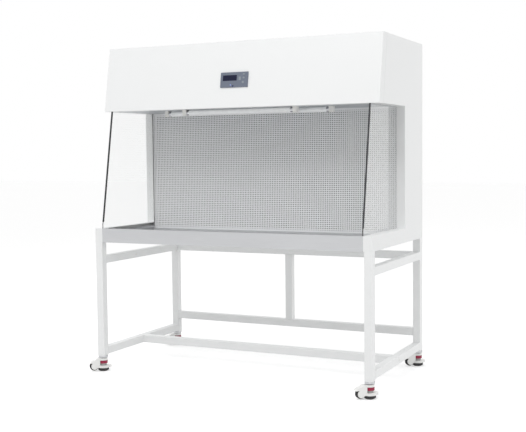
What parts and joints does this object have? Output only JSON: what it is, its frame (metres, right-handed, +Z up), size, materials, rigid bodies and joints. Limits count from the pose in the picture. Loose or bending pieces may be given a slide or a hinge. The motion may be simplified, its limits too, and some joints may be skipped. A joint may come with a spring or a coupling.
{
  "type": "laminar flow hood",
  "caption": "Horizontal laminar flow hood with a perforated diffuser, glass sides and a leaning head, on a tube stand with levelling casters.",
  "frame": {"origin": "on the floor, under the middle of the whole plan with the casters as they stand", "axes": "+X to the right seen from the front, +Y from the open front to the back, +Z up"},
  "size_m": [1.559, 0.849, 1.67],
  "materials": {
    "shell_paint": "satin white powder coat",
    "stand_paint": "satin pale grey powder coat",
    "worktop_steel": "fine brushed grain along the width",
    "zinc_sheet": "dull galvanised sheet",
    "side_glass": "clear polished plate with plain edges",
    "edge_strip": "dark grey extruded channel",
    "diffuser_paint": "satin grey coat, punched all over",
    "filter_frame": "plain drawn aluminium",
    "filter_paper": "white glass-fibre paper in folds",
    "prefilter_pad": "white fibre mat",
    "motor_paint": "dark grey coat",
    "lamp_glass": "white coated tube",
    "holder_plastic": "white moulded plastic",
    "bezel_plastic": "slate grey moulded plastic",
    "display_pane": "tinted pane",
    "board": "green circuit board",
    "key_plastic": "soft grey key caps",
    "black_plastic": "black moulded plastic",
    "bright_steel": "bright zinc plated",
    "caster_paint": "glossy white coat on a casting",
    "caster_tyre": "black tread on a white hub",
    "foot_rubber": "black moulded rubber",
    "dial_plastic": "crimson moulded nut"
  },
  "bodies": {
    "cabinet": {"side_panel_left": "shell_paint", "side_panel_right": "shell_paint", "head_cover": "shell_paint", "top_panel": "shell_paint", "back_panel": "shell_paint", "bottom_panel": "shell_paint", "head_floor": "zinc_sheet", "worktop": "worktop_steel", "side_glass_left": "side_glass", "side_glass_right": "side_glass", "glass_edge_strips": "edge_strip", "diffuser_plate": "diffuser_paint", "filter_frame": "filter_frame", "filter_media": "filter_paper", "prefilter_frame": "filter_frame", "prefilter_media": "prefilter_pad", "blower_housing": "zinc_sheet", "blower_motor": "motor_paint", "lamp_tube": "lamp_glass", "uv_tube": "lamp_glass", "lamp_holders": "holder_plastic", "control_bezel": "bezel_plastic", "display_window": "display_pane", "control_board": "board", "power_inlet": "black_plastic", "fasteners": "bright_steel", "caster_stems": "bright_steel", "post_rear_centre": "stand_paint", "leg_front_left": "stand_paint", "leg_front_right": "stand_paint", "leg_rear_left": "stand_paint", "leg_rear_right": "stand_paint", "rail_upper_left": "stand_paint", "rail_upper_right": "stand_paint", "rail_lower_left": "stand_paint", "rail_lower_right": "stand_paint", "rail_rear_upper": "stand_paint", "rail_rear_lower": "stand_paint", "rail_cross_lower": "stand_paint"},
    "blower_rotor": {"blower_wheel": "zinc_sheet"},
    "key_power": {"key_power": "key_plastic"},
    "key_up": {"key_up": "key_plastic"},
    "key_enter": {"key_enter": "key_plastic"},
    "key_down": {"key_down": "key_plastic"},
    "swivel_front_left": {"caster_housing_front_left": "caster_paint"},
    "wheel_front_left": {"caster_wheel_front_left": "caster_tyre"},
    "foot_front_left": {"caster_foot_front_left": "foot_rubber"},
    "dial_front_left": {"caster_dial_front_left": "dial_plastic"},
    "swivel_front_right": {"caster_housing_front_right": "caster_paint"},
    "wheel_front_right": {"caster_wheel_front_right": "caster_tyre"},
    "foot_front_right": {"caster_foot_front_right": "foot_rubber"},
    "dial_front_right": {"caster_dial_front_right": "dial_plastic"},
    "swivel_rear_left": {"caster_housing_rear_left": "caster_paint"},
    "wheel_rear_left": {"caster_wheel_rear_left": "caster_tyre"},
    "foot_rear_left": {"caster_foot_rear_left": "foot_rubber"},
    "dial_rear_left": {"caster_dial_rear_left": "dial_plastic"},
    "swivel_rear_right": {"caster_housing_rear_right": "caster_paint"},
    "wheel_rear_right": {"caster_wheel_rear_right": "caster_tyre"},
    "foot_rear_right": {"caster_foot_rear_right": "foot_rubber"},
    "dial_rear_right": {"caster_dial_rear_right": "dial_plastic"}
  },
  "joints": [
    {"name": "blower_spin", "type": "hinge", "parent": "cabinet", "child": "blower_rotor", "pos_m": [0.01104, 0.23604, 1.52], "axis": [1, 0, 0], "continuous": true},
    {"name": "key_power_press", "type": "slide", "parent": "cabinet", "child": "key_power", "axis": [0, 0.9847, -0.1741], "range_m": [0, 0.0012], "stiffness_N_per_m": 2000},
    {"name": "key_up_press", "type": "slide", "parent": "cabinet", "child": "key_up", "axis": [0, 0.9847, -0.1741], "range_m": [0, 0.0012], "stiffness_N_per_m": 2000},
    {"name": "key_enter_press", "type": "slide", "parent": "cabinet", "child": "key_enter", "axis": [0, 0.9847, -0.1741], "range_m": [0, 0.0012], "stiffness_N_per_m": 2000},
    {"name": "key_down_press", "type": "slide", "parent": "cabinet", "child": "key_down", "axis": [0, 0.9847, -0.1741], "range_m": [0, 0.0012], "stiffness_N_per_m": 2000},
    {"name": "swivel_front_left_turn", "type": "hinge", "parent": "cabinet", "child": "swivel_front_left", "pos_m": [-0.71896, -0.36396, 0.06], "axis": [0, 0, 1], "continuous": true},
    {"name": "wheel_front_left_roll", "type": "hinge", "parent": "swivel_front_left", "child": "wheel_front_left", "pos_m": [-0.75291, -0.39791, 0.0275], "axis": [-0.7071, 0.7071, 0], "continuous": true},
    {"name": "dial_front_left_turn", "type": "hinge", "parent": "swivel_front_left", "child": "dial_front_left", "pos_m": [-0.71896, -0.36396, 0.04], "axis": [0, 0, 1], "range_deg": [-1800, 1440]},
    {"name": "foot_front_left_lift", "type": "slide", "parent": "swivel_front_left", "child": "foot_front_left", "axis": [0, 0, 1], "range_m": [-0.006, 0.0075]},
    {"name": "swivel_front_right_turn", "type": "hinge", "parent": "cabinet", "child": "swivel_front_right", "pos_m": [0.74104, -0.36396, 0.06], "axis": [0, 0, 1], "continuous": true},
    {"name": "wheel_front_right_roll", "type": "hinge", "parent": "swivel_front_right", "child": "wheel_front_right", "pos_m": [0.7071, -0.39791, 0.0275], "axis": [-0.7071, 0.7071, 0], "continuous": true},
    {"name": "dial_front_right_turn", "type": "hinge", "parent": "swivel_front_right", "child": "dial_front_right", "pos_m": [0.74104, -0.36396, 0.04], "axis": [0, 0, 1], "range_deg": [-1800, 1440]},
    {"name": "foot_front_right_lift", "type": "slide", "parent": "swivel_front_right", "child": "foot_front_right", "axis": [0, 0, 1], "range_m": [-0.006, 0.0075]},
    {"name": "swivel_rear_left_turn", "type": "hinge", "parent": "cabinet", "child": "swivel_rear_left", "pos_m": [-0.71896, 0.38604, 0.06], "axis": [0, 0, 1], "continuous": true},
    {"name": "wheel_rear_left_roll", "type": "hinge", "parent": "swivel_rear_left", "child": "wheel_rear_left", "pos_m": [-0.75291, 0.35209, 0.0275], "axis": [-0.7071, 0.7071, 0], "continuous": true},
    {"name": "dial_rear_left_turn", "type": "hinge", "parent": "swivel_rear_left", "child": "dial_rear_left", "pos_m": [-0.71896, 0.38604, 0.04], "axis": [0, 0, 1], "range_deg": [-1800, 1440]},
    {"name": "foot_rear_left_lift", "type": "slide", "parent": "swivel_rear_left", "child": "foot_rear_left", "axis": [0, 0, 1], "range_m": [-0.006, 0.0075]},
    {"name": "swivel_rear_right_turn", "type": "hinge", "parent": "cabinet", "child": "swivel_rear_right", "pos_m": [0.74104, 0.38604, 0.06], "axis": [0, 0, 1], "continuous": true},
    {"name": "wheel_rear_right_roll", "type": "hinge", "parent": "swivel_rear_right", "child": "wheel_rear_right", "pos_m": [0.7071, 0.35209, 0.0275], "axis": [-0.7071, 0.7071, 0], "continuous": true},
    {"name": "dial_rear_right_turn", "type": "hinge", "parent": "swivel_rear_right", "child": "dial_rear_right", "pos_m": [0.74104, 0.38604, 0.04], "axis": [0, 0, 1], "range_deg": [-1800, 1440]},
    {"name": "foot_rear_right_lift", "type": "slide", "parent": "swivel_rear_right", "child": "foot_rear_right", "axis": [0, 0, 1], "range_m": [-0.006, 0.0075]}
  ],
  "couplings": [
    {"joint": "dial_front_left_turn", "follows": "foot_front_left_lift", "rad_per_m": -4188.8},
    {"joint": "dial_front_right_turn", "follows": "foot_front_right_lift", "rad_per_m": -4188.8},
    {"joint": "dial_rear_left_turn", "follows": "foot_rear_left_lift", "rad_per_m": -4188.8},
    {"joint": "dial_rear_right_turn", "follows": "foot_rear_right_lift", "rad_per_m": -4188.8}
  ]
}
